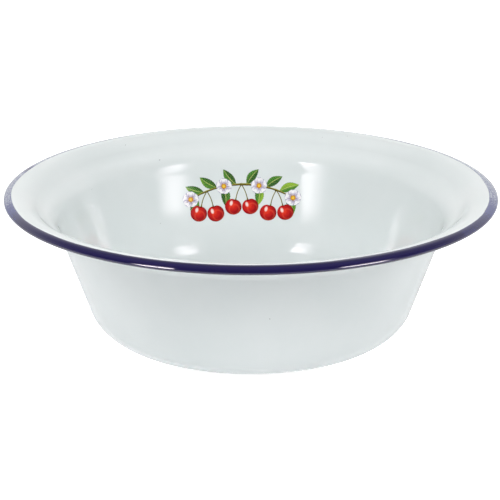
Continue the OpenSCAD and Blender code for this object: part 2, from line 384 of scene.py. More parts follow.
def add_node(tree, kind, settings=None, inputs=()):
    """Adds a node, sets its properties, and fills or links its inputs, by name or in their order. A node that
    is given links its first output in use. The setting stops is for a ramp: (place, linear colour) pairs."""
    node = tree.nodes.new(kind)
    for key, value in (settings or {}).items():
        if key != "stops":
            setattr(node, key, value)
            continue
        node.color_ramp.interpolation = "EASE"
        elements = node.color_ramp.elements
        while len(elements) < len(value):
            elements.new(0.5)
        for element, (place, rgb) in zip(elements, value):
            element.position, element.color = place, (*rgb, 1.0)
    if isinstance(inputs, dict):
        filled = [(node.inputs[key], value) for key, value in inputs.items()]
    else:
        filled = zip([socket for socket in node.inputs if socket.enabled], inputs)
    for socket, value in filled:
        if isinstance(value, bpy.types.Node):
            value = next(output for output in value.outputs if output.enabled)
        if isinstance(value, bpy.types.NodeSocket):
            tree.links.new(value, socket)
        else:
            socket.default_value = (*value, 1.0) if socket.type == "RGBA" else value
    return node


def new_material(name):
    """An empty node material and its output node."""
    material = bpy.data.materials.new(name)
    material.use_nodes = True
    material.node_tree.nodes.clear()
    return material, material.node_tree, add_node(material.node_tree, "ShaderNodeOutputMaterial")


def off(tree, value, middle):
    """How far a value lies from a middle one, to either side."""
    return add_node(tree, *UNSIGNED, (add_node(tree, *MINUS, (value, middle)),))


def patches(millimetres, detail):
    """What a noise takes for patches about that wide."""
    return {"Scale": 1 / (millimetres * MM), "Detail": detail}


# Finishes

# The glass of every coat and ink has run level in the kiln, but for a long slow wave and a fine peel
GLASS_IOR, BLUE_IOR = 1.52, 1.62
PEEL, WAVE, GLOSS = patches(3.5, 1.0), patches(38, 0.0), patches(24, 2.0)
PEEL_DEPTH, WAVE_DEPTH = 0.0016 * MM, 0.016 * MM
# Noise keeps mostly between these two
NOISE_LOW, NOISE_HIGH = 0.3, 0.7
# Roughness of each way of laying the glass, from its glossiest patches to its dullest
SPRAYED, BRUSHED, DIPPED = (0.04, 0.07), (0.025, 0.06), (0.12, 0.3)
# The white's clouds, grains and wear, and the streaks and flecks of the brush
CLOUDS, GRAINS, WEAR = patches(55, 3.0), patches(0.7, 1.0), patches(2.2, 3.0)
STREAKS, FLECKS = patches(0.9, 2.0), patches(1.3, 3.0)
# The pits of the ground coat, the grain of the steel, and the inks' bark, mottling, stipple and beads
PITS, STEEL_GRAIN, BARK = patches(1.6, 3.0), patches(0.8, 2.0), patches(1.1, 3.0)
MOTTLE, STIPPLE, BEADS = patches(1.8, 3.0), patches(0.7, 1.0), patches(0.8, 1.0)
GROUND_NAME = "Cobalt ground enamel, dipped and fired"


def fired_glass(tree, output, base, roughness=SPRAYED, ior=GLASS_IOR):
    """Gives a colour the gloss of fired enamel: glassy, with a peel and a wave that bend its reflections."""
    place = add_node(tree, COORDINATES).outputs["Object"]
    peel = add_node(tree, NOISE, None, {"Vector": place, **PEEL})
    peeled = add_node(tree, "ShaderNodeBump", None,
                      {"Height": peel, "Strength": 1.0, "Distance": PEEL_DEPTH})
    wave = add_node(tree, NOISE, None, {"Vector": place, **WAVE})
    waved = add_node(tree, "ShaderNodeBump", None,
                     {"Height": wave, "Strength": 1.0, "Distance": WAVE_DEPTH, "Normal": peeled})
    gloss = add_node(tree, NOISE, None, {"Vector": place, **GLOSS})
    dullness = add_node(tree, *EVEN_SPAN, (gloss, NOISE_LOW, NOISE_HIGH, *roughness))
    glass = add_node(tree, "ShaderNodeBsdfPrincipled", None,
                     {"Base Color": base, "Roughness": dullness, "IOR": ior, "Normal": waved})
    tree.links.new(glass.outputs["BSDF"], output.inputs["Surface"])


def white_enamel(c):
    """White vitreous enamel, sprayed and fired: cool white glass, faintly clouded, greyer where thin."""
    material, tree, output = new_material("White vitreous enamel, sprayed and fired")
    grain_share, wear_least, ground_share = 0.05, 0.45, 0.55
    place = add_node(tree, COORDINATES).outputs["Object"]
    clouds = add_node(tree, NOISE, None, {"Vector": place, **CLOUDS})
    clouded = add_node(tree, RAMP, {"stops": [(0.32, c.white_shade), (0.68, c.white)]}, (clouds,))
    grains = add_node(tree, NOISE, None, {"Vector": place, **GRAINS})
    grains = add_node(tree, *TIMES, (grains, grain_share))
    grained = add_node(tree, *COLOUR_MIX, (grains, clouded, c.white_shade))
    wear = add_node(tree, NOISE, None, {"Vector": place, **WEAR})
    wear = add_node(tree, *PLUS, (wear_least, wear))
    thin = add_node(tree, ATTRIBUTE, {"attribute_name": "thin"}).outputs["Fac"]
    worn = add_node(tree, "ShaderNodeMath", {"operation": "MULTIPLY", "use_clamp": True}, (thin, wear))
    worn = add_node(tree, *TIMES, (worn, ground_share))
    fired_glass(tree, output, add_node(tree, *COLOUR_MIX, (worn, grained, c.ground)))
    return material


def blue_enamel(c):
    """Blue vitreous enamel, brushed by hand: deep glassy indigo, slate blue where the brush left it thin, and
    paler with a painted sheen over the rim's sides and back.
    """
    material, tree, output = new_material("Blue vitreous enamel, brushed by hand")
    full, dry_loss, fleck_loss, streak_loss = 1.1, 0.84, 0.14, 0.12
    streak_stretch, fleck_stretch = (0.03, 1.0, 1.0), (0.35, 1.0, 1.0)
    fleck_from, fleck_to = 0.35, 0.65
    brush_at = add_node(tree, MAP, {"uv_map": "Brush"})
    drawn = add_node(tree, STRETCH, None, {"Vector": brush_at, "Scale": streak_stretch})
    streaks = add_node(tree, NOISE, None, {"Vector": drawn, **STREAKS})
    streaks = add_node(tree, *TIMES, (streaks, streak_loss))
    dabbed = add_node(tree, STRETCH, None, {"Vector": brush_at, "Scale": fleck_stretch})
    flecks = add_node(tree, NOISE, None, {"Vector": dabbed, **FLECKS})
    flecks = add_node(tree, *EVEN_SPAN, (flecks, fleck_from, fleck_to))
    lost = add_node(tree, *PLUS, (dry_loss, add_node(tree, *TIMES, (flecks, fleck_loss))))
    # Thinness of the colour: its feathered edges, and a painted sheen over the rim's sides and back
    dry = add_node(tree, ATTRIBUTE, {"attribute_name": "dry"}).outputs["Fac"]
    left = add_node(tree, *MINUS, (full, add_node(tree, *TIMES, (dry, lost))))
    laid = add_node(tree, *MINUS, (left, streaks))
    tones = [(0.0, c.white_shade), (0.45, c.blue_thin), (0.8, c.blue)]
    base = add_node(tree, RAMP, {"stops": tones}, (laid,))
    fired_glass(tree, output, base, BRUSHED, BLUE_IOR)
    return material


def ground_enamel(c):
    """Cobalt ground enamel, dipped and fired: blue-black glass, pitted by gas that left it in the kiln."""
    material, tree, output = new_material(GROUND_NAME)
    place = add_node(tree, COORDINATES).outputs["Object"]
    pits = add_node(tree, NOISE, None, {"Vector": place, **PITS})
    base = add_node(tree, RAMP, {"stops": [(0.3, c.ground), (0.75, linear("#3a3d49"))]}, (pits,))
    fired_glass(tree, output, base, DIPPED)
    return material


def rolled_steel(c):
    """Cold-rolled steel, pickled before enamelling: dull grey metal with a fine grain along the sheet."""
    material, tree, output = new_material("Cold-rolled steel, pickled")
    grain_stretch, smoothest, roughest = (0.05, 1.0, 1.0), 0.32, 0.5
    place = add_node(tree, COORDINATES).outputs["Object"]
    along = add_node(tree, STRETCH, None, {"Vector": place, "Scale": grain_stretch})
    grain = add_node(tree, NOISE, None, {"Vector": along, **STEEL_GRAIN})
    base = add_node(tree, *COLOUR_MIX, (grain, c.steel, linear("#6c7073")))
    dullness = add_node(tree, *EVEN_SPAN, (grain, 0.0, 1.0, smoothest, roughest))
    metal = add_node(tree, "ShaderNodeBsdfPrincipled", None,
                     {"Base Color": base, "Metallic": 1.0, "Roughness": dullness})
    tree.links.new(metal.outputs["BSDF"], output.inputs["Surface"])
    return material


def stem_ink(c):
    """Fired ceramic ink, stems: brown-green lines, lit along their upper side and flecked as bark is."""
    material, tree, output = new_material("Fired ceramic ink, bark brown")
    bark_above, bark_share = 0.56, 0.45
    motif = add_node(tree, AXES, None, (add_node(tree, MAP, {"uv_map": "Motif"}),)).outputs
    tones = [(0.0, linear("#2d2a12")), (0.45, c.stem), (0.85, linear("#a3a047"))]
    shaded = add_node(tree, RAMP, {"stops": tones}, (motif["Y"],))
    place = add_node(tree, COORDINATES).outputs["Object"]
    bark = add_node(tree, NOISE, None, {"Vector": place, **BARK})
    bark = add_node(tree, *ABOVE, (bark, bark_above))
    bark = add_node(tree, *TIMES, (bark, bark_share))
    fired_glass(tree, output, add_node(tree, *COLOUR_MIX, (bark, shaded, linear("#3a3216"))))
    return material


def leaf_ink(c):
    """Fired ceramic ink, leaves: two greens blended across each leaf, with pale veins and a dark edge."""
    material, tree, output = new_material("Fired ceramic ink, leaf green")
    light_across, light_along, light_leaf, light_mottle = 0.55, 0.25, 0.5, 0.35
    side_veins, vein_slant, vein_half, rib_half, edge_from = 7.0, 4.5, 0.07, 0.035, 0.45
    side_vein_share, vein_share, edge_share = 0.55, 0.75, 0.5
    motif = add_node(tree, AXES, None, (add_node(tree, MAP, {"uv_map": "Motif"}),)).outputs
    along, across = motif["X"], motif["Y"]
    light = add_node(tree, *PLUS, (add_node(tree, *TIMES, (across, light_across)),
                                   add_node(tree, *TIMES, (along, light_along))))
    tone = add_node(tree, ATTRIBUTE, {"attribute_name": "tone"}).outputs["Fac"]
    leaf_tone = add_node(tree, *MINUS, (tone, 0.5))
    light = add_node(tree, *PLUS, (light, add_node(tree, *TIMES, (leaf_tone, light_leaf))))
    place = add_node(tree, COORDINATES).outputs["Object"]
    mottle = add_node(tree, NOISE, None, {"Vector": place, **MOTTLE})
    light = add_node(tree, *PLUS, (light, add_node(tree, *TIMES, (mottle, light_mottle))))
    tones = [(0.25, c.leaf_dark), (0.62, linear("#3f7d2e")), (1.0, c.leaf_light)]
    body = add_node(tree, RAMP, {"stops": tones}, (light,))
    off_rib = off(tree, across, 0.5)
    fan = add_node(tree, *MINUS, (add_node(tree, *TIMES, (along, side_veins)),
                                  add_node(tree, *TIMES, (off_rib, vein_slant))))
    off_vein = off(tree, add_node(tree, *FRACTION, (fan,)), 0.5)
    on_vein = add_node(tree, *TIMES, (add_node(tree, *UNDER, (off_vein, vein_half)), side_vein_share))
    on_rib = add_node(tree, *UNDER, (off_rib, rib_half))
    veins = add_node(tree, *TIMES, (add_node(tree, *HIGHER, (on_vein, on_rib)), vein_share))
    veined = add_node(tree, *COLOUR_MIX, (veins, body, linear("#cfd87a")))
    edge = add_node(tree, *TIMES, (add_node(tree, *ABOVE, (off_rib, edge_from)), edge_share))
    fired_glass(tree, output, add_node(tree, *COLOUR_MIX, (edge, veined, linear("#163c1a"))))
    return material


def cherry_ink(c):
    """Fired ceramic ink, cherries: round red shading in stippled tones, a pale glint and a warm rim light."""
    material, tree, output = new_material("Fired ceramic ink, cherry red")
    stipple_share, warm_share, dimple_share, glint_share = 0.22, 0.35, 0.75, 0.9
    motif = add_node(tree, MAP, {"uv_map": "Motif"})

    def from_spot(x, y, stretch=(1, 1, 1)):
        """Distance from a spot of the cherry, stretched along x and y."""
        offset = add_node(tree, *VECTOR_MINUS, (motif, (x, y, 0)))
        return add_node(tree, *VECTOR_LENGTH, (add_node(tree, *VECTOR_TIMES, (offset, stretch)),))

    place = add_node(tree, COORDINATES).outputs["Object"]
    stipple = add_node(tree, NOISE, None, {"Vector": place, **STIPPLE})
    stipple = add_node(tree, *TIMES, (add_node(tree, *MINUS, (stipple, 0.5)), stipple_share))
    shade = add_node(tree, *PLUS, (from_spot(0.42, 0.58), stipple))
    tones = [(0.05, linear("#e03a26")), (0.28, c.cherry), (0.46, linear("#9c141a")), (0.6, c.cherry_dark)]
    base = add_node(tree, RAMP, {"stops": tones}, (shade,))
    for spot, stops, share, tint in (
            (from_spot(0.6, 0.36), [(0.22, BLACK), (0.3, WHITE), (0.4, BLACK)], warm_share, "#e8573a"),
            (from_spot(0.5, 0.93, (1, 2.2, 1)), [(0.03, WHITE), (0.2, BLACK)], dimple_share, "#4b0a10"),
            (from_spot(0.33, 0.68, (1.0, 0.62, 1)), [(0.05, WHITE), (0.12, BLACK)], glint_share, "#fbe3dc")):
        amount = add_node(tree, *TIMES, (add_node(tree, RAMP, {"stops": stops}, (spot,)), share))
        base = add_node(tree, *COLOUR_MIX, (amount, base, linear(tint)))
    fired_glass(tree, output, base)
    return material


def petal_ink(c):
    """Fired ceramic ink, petals: opaque white with violet-grey folds towards the heart and a fine outline."""
    material, tree, output = new_material("Fired ceramic ink, blossom white")
    fold_at, fold_half, fold_end, fold_share = 0.4, 0.06, 0.7, 0.5
    side_edge, tip_edge, edge_share = 0.86, 0.92, 0.85
    motif = add_node(tree, AXES, None, (add_node(tree, MAP, {"uv_map": "Motif"}),)).outputs
    along, off_mid = motif["Y"], off(tree, add_node(tree, *TIMES, (motif["X"], 2.0)), 1.0)
    tones = [(0.05, linear("#b9a06a")), (0.28, linear("#cfc8de")), (0.62, c.petal)]
    heart = add_node(tree, RAMP, {"stops": tones}, (along,))
    fold = add_node(tree, *TIMES, (add_node(tree, *UNDER, (off(tree, off_mid, fold_at), fold_half)),
                                   add_node(tree, *UNDER, (along, fold_end))))
    fold = add_node(tree, *TIMES, (fold, fold_share))
    folded = add_node(tree, *COLOUR_MIX, (fold, heart, c.petal_shade))
    edge = add_node(tree, *HIGHER, (add_node(tree, *ABOVE, (off_mid, side_edge)),
                                    add_node(tree, *ABOVE, (along, tip_edge))))
    edge = add_node(tree, *TIMES, (edge, edge_share))
    fired_glass(tree, output, add_node(tree, *COLOUR_MIX, (edge, folded, c.petal_shade)))
    return material


def centre_ink(c):
    """Fired ceramic ink, blossom hearts: warm yellow beaded with orange, darker out along the stamens."""
    material, tree, output = new_material("Fired ceramic ink, stamen yellow")
    bead_share = 0.5
    place = add_node(tree, COORDINATES).outputs["Object"]
    beads = add_node(tree, NOISE, None, {"Vector": place, **BEADS})
    beads = add_node(tree, *TIMES, (add_node(tree, *MINUS, (beads, 0.5)), bead_share))
    motif = add_node(tree, AXES, None, (add_node(tree, MAP, {"uv_map": "Motif"}),)).outputs
    outwards = add_node(tree, *PLUS, (motif["Y"], beads))
    tones = [(0.1, linear("#f6d95a")), (0.45, c.centre), (0.7, linear("#c78020")), (0.95, c.centre_dark)]
    fired_glass(tree, output, add_node(tree, RAMP, {"stops": tones}, (outwards,)))
    return material


# Making the pieces

# How near two points have to be to become one: at a coat's pole, and in a flat sheet
POLE_GAP, SHEET_GAP = 0.0005 * MM, 0.0001 * MM


def new_object(name, data):
    obj = bpy.data.objects.new(name, data)
    bpy.context.scene.collection.objects.link(obj)
    return obj


def keep_piece(obj, node):
    """A finished piece rides on the bowl and stands for its solid."""
    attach(obj, BODY)
    if node:
        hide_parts(node)


def new_tree(name, inputs):
    """A geometry tree with a geometry input and output and the named inputs; also their identifiers."""
    tree = bpy.data.node_groups.new(name, "GeometryNodeTree")
    face = tree.interface
    face.new_socket("Geometry", in_out="INPUT", socket_type="NodeSocketGeometry")
    sockets = {label: face.new_socket(label, in_out="INPUT", socket_type=kind).identifier
               for label, kind in inputs.items()}
    face.new_socket("Geometry", in_out="OUTPUT", socket_type="NodeSocketGeometry")
    return tree, sockets


def dressed_output(tree, geometry, material):
    """Ends a tree: the geometry as a plain mesh, in its material."""
    real = add_node(tree, "GeometryNodeRealizeInstances", None, {"Geometry": geometry})
    dressed = add_node(tree, "GeometryNodeSetMaterial", None,
                       {"Geometry": real.outputs["Geometry"], "Material": material})
    add_node(tree, "NodeGroupOutput", None, {"Geometry": dressed.outputs["Geometry"]})


def grown(name, mesh, tree, sockets, values):
    """Runs a tree on a mesh and keeps the result as a plain mesh under the piece's name."""
    obj = new_object(name, mesh)
    modifier = obj.modifiers.new(tree.name, "NODES")
    modifier.node_group = tree
    for label, value in values.items():
        modifier[sockets[label]] = value
    graph = bpy.context.evaluated_depsgraph_get()
    result = bpy.data.meshes.new_from_object(obj.evaluated_get(graph), preserve_all_data_layers=True,
                                             depsgraph=graph)
    obj.modifiers.remove(modifier)
    obj.data = result
    bpy.data.meshes.remove(mesh)
    result.name = name
    if not result.polygons:
        raise RuntimeError(f"{name} came out empty")
    return obj


def turned_tree():
    """Turns a section, drawn as edges in x (from the path outwards) and y (down), about the axis."""
    tree, sockets = new_tree("Turned coat", {
        "Steps around": "NodeSocketInt", "Path radius": "NodeSocketFloat", "Pole": "NodeSocketFloat",
        "Material": "NodeSocketMaterial"})
    given = add_node(tree, "NodeGroupInput").outputs
    circle = add_node(tree, "GeometryNodeCurvePrimitiveCircle", None,
                      {"Resolution": given["Steps around"], "Radius": given["Path radius"]})
    upright = add_node(tree, "GeometryNodeSetCurveNormal", {"mode": "Z_UP"},
                       {"Curve": circle.outputs["Curve"]})
    section = add_node(tree, "GeometryNodeMeshToCurve", None, {"Mesh": given["Geometry"]})
    skin = add_node(tree, "GeometryNodeCurveToMesh", None,
                    {"Curve": upright.outputs["Curve"], "Profile Curve": section.outputs["Curve"]})
    closed = add_node(tree, "GeometryNodeMergeByDistance", None,
                      {"Geometry": skin.outputs["Mesh"], "Distance": given["Pole"]})
    smoothed = add_node(tree, "GeometryNodeSetShadeSmooth", None, {"Geometry": closed.outputs["Geometry"]})
    dressed_output(tree, smoothed.outputs["Geometry"], given["Material"])
    return tree, sockets


def turned_coat(name, points, steps, material):
    """A closed coat from its section: (radius, height, thinness) points from the axis and back to it."""
    path_r = max(p[0] for p in points) / 2
    mesh = bpy.data.meshes.new(name + "_section")
    edges = [(i, i + 1) for i in range(len(points) - 1)]
    mesh.from_pydata([(r - path_r, -z, 0) for r, z, _ in points], edges, [])
    thin = mesh.attributes.new("thin", "FLOAT", "POINT")
    thin.data.foreach_set("value", [p[2] for p in points])
    tree, sockets = turned_tree()
    obj = grown(name, mesh, tree, sockets, {
        "Steps around": steps, "Path radius": path_r, "Pole": POLE_GAP, "Material": material})
    face_outwards(obj.data)
    return obj


def face_outwards(mesh):
    """Turns a closed mesh right side out."""
    work = bmesh.new()
    work.from_mesh(mesh)
    if work.calc_volume(signed=True) < 0:
        bmesh.ops.reverse_faces(work, faces=work.faces[:])
        work.to_mesh(mesh)
    work.free()


def motif_tree():
    """Puts a copy of a motif on every point, turned and sized by the point's own values."""
    tree, sockets = new_tree("Motifs on points", {
        "Motif": "NodeSocketObject", "Material": "NodeSocketMaterial"})
    given = add_node(tree, "NodeGroupInput").outputs
    motif = add_node(tree, "GeometryNodeObjectInfo", {"transform_space": "ORIGINAL"},
                     {"Object": given["Motif"]})
    points = add_node(tree, "GeometryNodeMeshToPoints", None, {"Mesh": given["Geometry"]})
    turn = add_node(tree, "GeometryNodeInputNamedAttribute", {"data_type": "FLOAT_VECTOR"}, {"Name": "turn"})
    size = add_node(tree, "GeometryNodeInputNamedAttribute", {"data_type": "FLOAT"}, {"Name": "size"})
    rotation = add_node(tree, "FunctionNodeEulerToRotation", None, {"Euler": turn.outputs["Attribute"]})
    copies = add_node(tree, "GeometryNodeInstanceOnPoints", None, {
        "Points": points.outputs["Points"], "Instance": motif.outputs["Geometry"],
        "Rotation": rotation.outputs["Rotation"], "Scale": size.outputs["Attribute"]})
    dressed_output(tree, copies.outputs["Instances"], given["Material"])
    return tree, sockets


def motifs_on(name, motif_mesh, places, material):
    """Copies of a motif at (x, y, z, turns, size, tone) places, as one plain mesh object."""
    mesh = bpy.data.meshes.new(name + "_places")
    mesh.from_pydata([p[:3] for p in places], [], [])
    turns = mesh.attributes.new("turn", "FLOAT_VECTOR", "POINT")
    turns.data.foreach_set("vector", [turn for p in places for turn in p[3]])
    for label, column in (("size", 4), ("tone", 5)):
        values = mesh.attributes.new(label, "FLOAT", "POINT")
        values.data.foreach_set("value", [p[column] for p in places])
    motif = new_object(name + "_motif", motif_mesh)
    tree, sockets = motif_tree()
    obj = grown(name, mesh, tree, sockets, {"Motif": motif, "Material": material})
    bpy.data.objects.remove(motif)
    bpy.data.meshes.remove(motif_mesh)
    return obj


def lanes(count):
    """Even places across a strip, from -1 to 1."""
    return [2 * i / count - 1 for i in range(count + 1)]


def disc(rings, around, point):
    """Rows of a round sheet from its middle outwards; point takes the share of the radius and the angle."""
    return [[point(i / rings, TURN * j / around) for j in range(around)] for i in range(rings + 1)]


def patch(name, rows, ring=False):
    """A flat sheet from rows of (x, y, u, v) points, each row joined to the next; a ring closes on itself."""
    mesh = bpy.data.meshes.new(name)
    wide = len(rows[0])
    corners = [point for row in rows for point in row]
    faces = []
    for i in range(len(rows) - 1):
        for j in range(wide if ring else wide - 1):
            k = (j + 1) % wide
            faces.append((i * wide + j, i * wide + k, (i + 1) * wide + k, (i + 1) * wide + j))
    mesh.from_pydata([(x, y, 0) for x, y, _, _ in corners], [], faces)
    uv = mesh.uv_layers.new(name="Motif")
    for loop in mesh.loops:
        uv.data[loop.index].uv = corners[loop.vertex_index][2:]
    work = bmesh.new()
    work.from_mesh(mesh)
    bmesh.ops.remove_doubles(work, verts=work.verts[:], dist=SHEET_GAP)
    bmesh.ops.recalc_face_normals(work, faces=work.faces[:])
    if sum(face.normal.z for face in work.faces) < 0:
        bmesh.ops.reverse_faces(work, faces=work.faces[:])
    work.to_mesh(mesh)
    work.free()
    return mesh


# How deep the inks and the rim colour are sunk into the white coat under them
INK_SINK = 0.03 * MM
SHARP_EDGE = math.radians(40)


def lay_ink(obj, form, garland, lift):
    """Gives a flat sheet the thickness of its ink and lays it on the wall."""
    mesh = obj.data
    work = bmesh.new()
    work.from_mesh(mesh)
    for vert in work.verts:
        vert.co.z = -INK_SINK
    raised = bmesh.ops.extrude_face_region(work, geom=work.faces[:], use_keep_orig=True)["geom"]
    for vert in raised:
        if isinstance(vert, bmesh.types.BMVert):
            vert.co.z = lift
    bmesh.ops.recalc_face_normals(work, faces=work.faces[:])
    for vert in work.verts:
        vert.co = form.on_wall(garland, *vert.co)
    for face in work.faces:
        face.smooth = True
    work.to_mesh(mesh)
    work.free()
    mesh.set_sharp_from_angle(angle=SHARP_EDGE)


def joined(objects):
    """Several plain mesh objects as the first of them."""
    first = objects[0]
    with bpy.context.temp_override(active_object=first, selected_editable_objects=objects, object=first):
        bpy.ops.object.join()
    return first


def form_of(context):
    return BowlForm(context.scene.basin_bowl)


# The bowl

# Share of the steps that the coats' hidden faces take, next to the ground coats
HIDDEN_FINENESS = 0.25
HEM_BEAD_STEPS = 10
# Wear of the white on the standing ring: how much, how far past the ring, and the heights where it fades
RING_WEAR, RING_WEAR_REACH, RING_WEAR_LOW, RING_WEAR_HIGH = 0.35, 2 * MM, 0.02 * MM, 0.12 * MM

# Steps of the rim colour round the bowl, across its upper face and across its hidden one
RIM_AROUND, RIM_ACROSS, RIM_UNDER = 384, 44, 11
# At its edges the colour feathers out over this much, down to a film this thick
RIM_FEATHER, RIM_FILM = 0.6 * MM, 0.01 * MM
# The waver of the hand along the colour's two edges: (share, waves round the bowl, phase) of each wave
START_WAVER = ((0.45, 3, 0.7), (0.3, 7, 2.1), (0.25, 17, 4.0))
END_WAVER = ((0.5, 4, 1.3), (0.3, 11, 0.4))
# Where the colour starts, in mm outwards from the crest, at turns in degrees from +X: it laps over the crest
# in front and stays short of it behind
RIM_STARTS = ((-90, -1.1), (-76, -0.97), (-67, -1.85), (-52, -1.3), (-36, 0.5), (-24, 0.6), (-18, -0.2),
              (-8, -1.0), (2, -1.3), (10, -0.8), (20, -0.3), (50, -0.6), (62, 0.5), (75, 2.2), (90, 2.9),
              (105, 2.2), (118, 0.5), (130, -0.5), (160, -0.6), (172, -0.1), (185, 0.3), (200, 0.2),
              (210, 0.8), (225, 0.2), (250, -0.85), (270, -1.1))
# How thin and pale the colour is, at turns in degrees from +X: partly colour that the brush left thin, partly
# a painted sheen over the sides and back of the rim, where it is seen at a slant
RIM_DRYNESS = ((-90, 0), (-40, 0), (-37, 0.4), (-30, 0.38), (-25, 0.42), (-20, 0.6), (-13, 0.74),
               (-9, 0.8), (12, 0.86), (20, 0.92), (62, 0.92), (75, 0.6), (105, 0.6), (118, 0.92),
               (158, 0.9), (162, 0.85), (166, 0.35), (170, 0.85), (192, 0.8), (199, 0.64), (204, 0.45),
               (212, 0.15), (222, 0), (270, 0))
RIM_FIRST_TURN = RIM_STARTS[0][0]


class BASIN_OT_hidden_layers(bpy.types.Operator):
    """Gives the steel and its two ground coats their finishes"""
    bl_idname = "basin.hidden_layers"
    bl_label = "Steel and ground coats"

    def execute(self, context):
        colours = context.scene.basin_colours
        ground = ground_enamel(colours)
        for node, material in (("steel_shell", rolled_steel(colours)),
                               ("inner_ground_coat", ground), ("outer_ground_coat", ground)):
            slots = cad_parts[node].material_slots
            if not slots:
                raise RuntimeError(f"{node} has no material slot")
            for slot in slots:
                slot.material = material
        return {"FINISHED"}


class BASIN_OT_white_coats(bpy.types.Operator):
    """Turns the white coats of the bowl's inside and outside, smooth as fired glass"""
    bl_idname = "basin.white_coats"
    bl_label = "White coats"

    def execute(self, context):
        form, sizes = form_of(context), context.scene.basin_bowl
        white = white_enamel(context.scene.basin_colours)
        fine, coarse = form.line(), form.line(HIDDEN_FINENESS)
        inside = [(*beside(st, form.inner_cover + form.swell(st)), 0.0) for st in fine]
        inside += self.hem_bead(form, sizes, fine[-1]) + [(*beside(fine[-1], form.outer_cover), 1.0)]
        inside += [(*beside(st, form.inner_ground), 0.0) for st in reversed(coarse)]
        outside = [(*beside(st, form.outer_ground), 0.0) for st in coarse]
        outside += [(*beside(st, form.outer_cover), self.ring_wear(form, sizes, st)) for st in reversed(fine)]
        for name, points, node in (("inner_white_coat", inside, "inner_cover_coat"),
                                   ("outer_white_coat", outside, "outer_cover_coat")):
            keep_piece(turned_coat(name, points, sizes.steps_around, white), node)
        return {"FINISHED"}

    def hem_bead(self, form, sizes, end):
        """The thin bead that closes the coat round the hem's cut edge."""
        middle = (form.inner_cover + form.outer_cover) / 2
        half = (form.inner_cover - form.outer_cover) / 2
        bead = []
        for i in range(1, HEM_BEAD_STEPS):
            a = math.pi * i / HEM_BEAD_STEPS
            radius, height = beside(end, middle + half * math.cos(a))
            bead.append((*ahead((radius, height, end[2]), sizes.hem_bead * math.sin(a))[:2], 1.0))
        return bead

    def ring_wear(self, form, sizes, station):
        """How thin the table has rubbed the white on the standing ring."""
        radius, height = beside(station, form.outer_cover)
        if not form.base_r - sizes.ring_w < radius < form.base_r + RING_WEAR_REACH:
            return 0.0
        return RING_WEAR * (1 - smooth(height, RING_WEAR_LOW, RING_WEAR_HIGH))


class BASIN_OT_rim_colour(bpy.types.Operator):
    """Brushes the blue colour round the rim, with edges that waver as a hand does"""
    bl_idname = "basin.rim_colour"
    bl_label = "Rim colour"

    def execute(self, context):
        form, sizes = form_of(context), context.scene.basin_bowl
        points, dry, brush = [], [], []
        for j in range(RIM_AROUND):
            turn = TURN * j / RIM_AROUND
            for (radius, height), reach, dryness in self.strip(form, sizes, turn):
                points.append((radius * math.cos(turn), radius * math.sin(turn), height))
                dry.append(dryness)
                brush.append((turn * sizes.rim_d / 2, reach))
        ring = RIM_ACROSS + RIM_UNDER + 2
        faces = []
        for j in range(RIM_AROUND):
            k = (j + 1) % RIM_AROUND
            for i in range(ring):
                n = (i + 1) % ring
                faces.append((j * ring + i, j * ring + n, k * ring + n, k * ring + i))
        mesh = bpy.data.meshes.new("rim_colour")
        mesh.from_pydata(points, [], faces)
        uv = mesh.uv_layers.new(name="Brush")
        for polygon in mesh.polygons:
            closes = polygon.index // ring == RIM_AROUND - 1
            for loop in polygon.loop_indices:
                vertex = mesh.loops[loop].vertex_index
                u, v = brush[vertex]
                if closes and vertex < ring:
                    u += TURN * sizes.rim_d / 2
                uv.data[loop].uv = (u, v)
        values = mesh.attributes.new("dry", "FLOAT", "POINT")
        values.data.foreach_set("value", dry)
        mesh.materials.append(blue_enamel(context.scene.basin_colours))
        mesh.shade_smooth()
        face_outwards(mesh)
        keep_piece(new_object("rim_colour", mesh), "rim_band")
        return {"FINISHED"}

    def strip(self, form, sizes, turn):
        """The colour's section at a turn: (point, reach from the crest, thinness and painted sheen), over and
        back under.
        """
        degrees = (math.degrees(turn) - RIM_FIRST_TURN) % 360 + RIM_FIRST_TURN
        # Thin colour and a painted sheen, which make the rim paler over its sides and back
        thin = eased(RIM_DRYNESS, degrees)
        start = eased(RIM_STARTS, degrees) * MM + sizes.brush_waver * self.waver(START_WAVER, turn)
        end = form.shoulder_l + form.nose_l + sizes.brush_waver * self.waver(END_WAVER, turn)
        rows = []
        for i in range(RIM_ACROSS + 1):
            reach = start + (end - start) * i / RIM_ACROSS
            edge = smooth(min(reach - start, end - reach), 0, RIM_FEATHER)
            lift = form.inner_cover + RIM_FILM + (sizes.band_t - RIM_FILM) * edge
            rows.append((beside(form.on_rim(reach), lift), reach, max(1 - edge, thin)))
        for i in range(RIM_UNDER + 1):
            reach = end + (start - end) * i / RIM_UNDER
            rows.append((beside(form.on_rim(reach), form.inner_cover - INK_SINK), reach, 1.0))
        return rows

    def waver(self, waves, turn):
        return sum(share * math.sin(count * turn + phase) for share, count, phase in waves)


# The garland

# Places along it, as shares of the branch's turn from its top, as the solids have them
PAIR_SHARES = (-0.66, 0, 0.66)
BLOSSOM_SHARES = (-1, -0.33, 0.33, 1)
LEAF_SHARES = (0.1, 0.33, 0.46, 0.72, 0.88)
LEAF_TURNS = (54, -84, 46, 40, -46)
KNOT_SHARES = (*PAIR_SHARES, *LEAF_SHARES, -0.4, -0.85)
PETALS, STAMENS = 5, 11
# Height of each ink over the white coat, as a share of the uppermost one: each is printed over the last
LEAF_LIFT, STEM_LIFT, PETAL_LIFT, CHERRY_LIFT, CENTRE_LIFT = 0.35, 0.55, 0.7, 0.85, 1.0
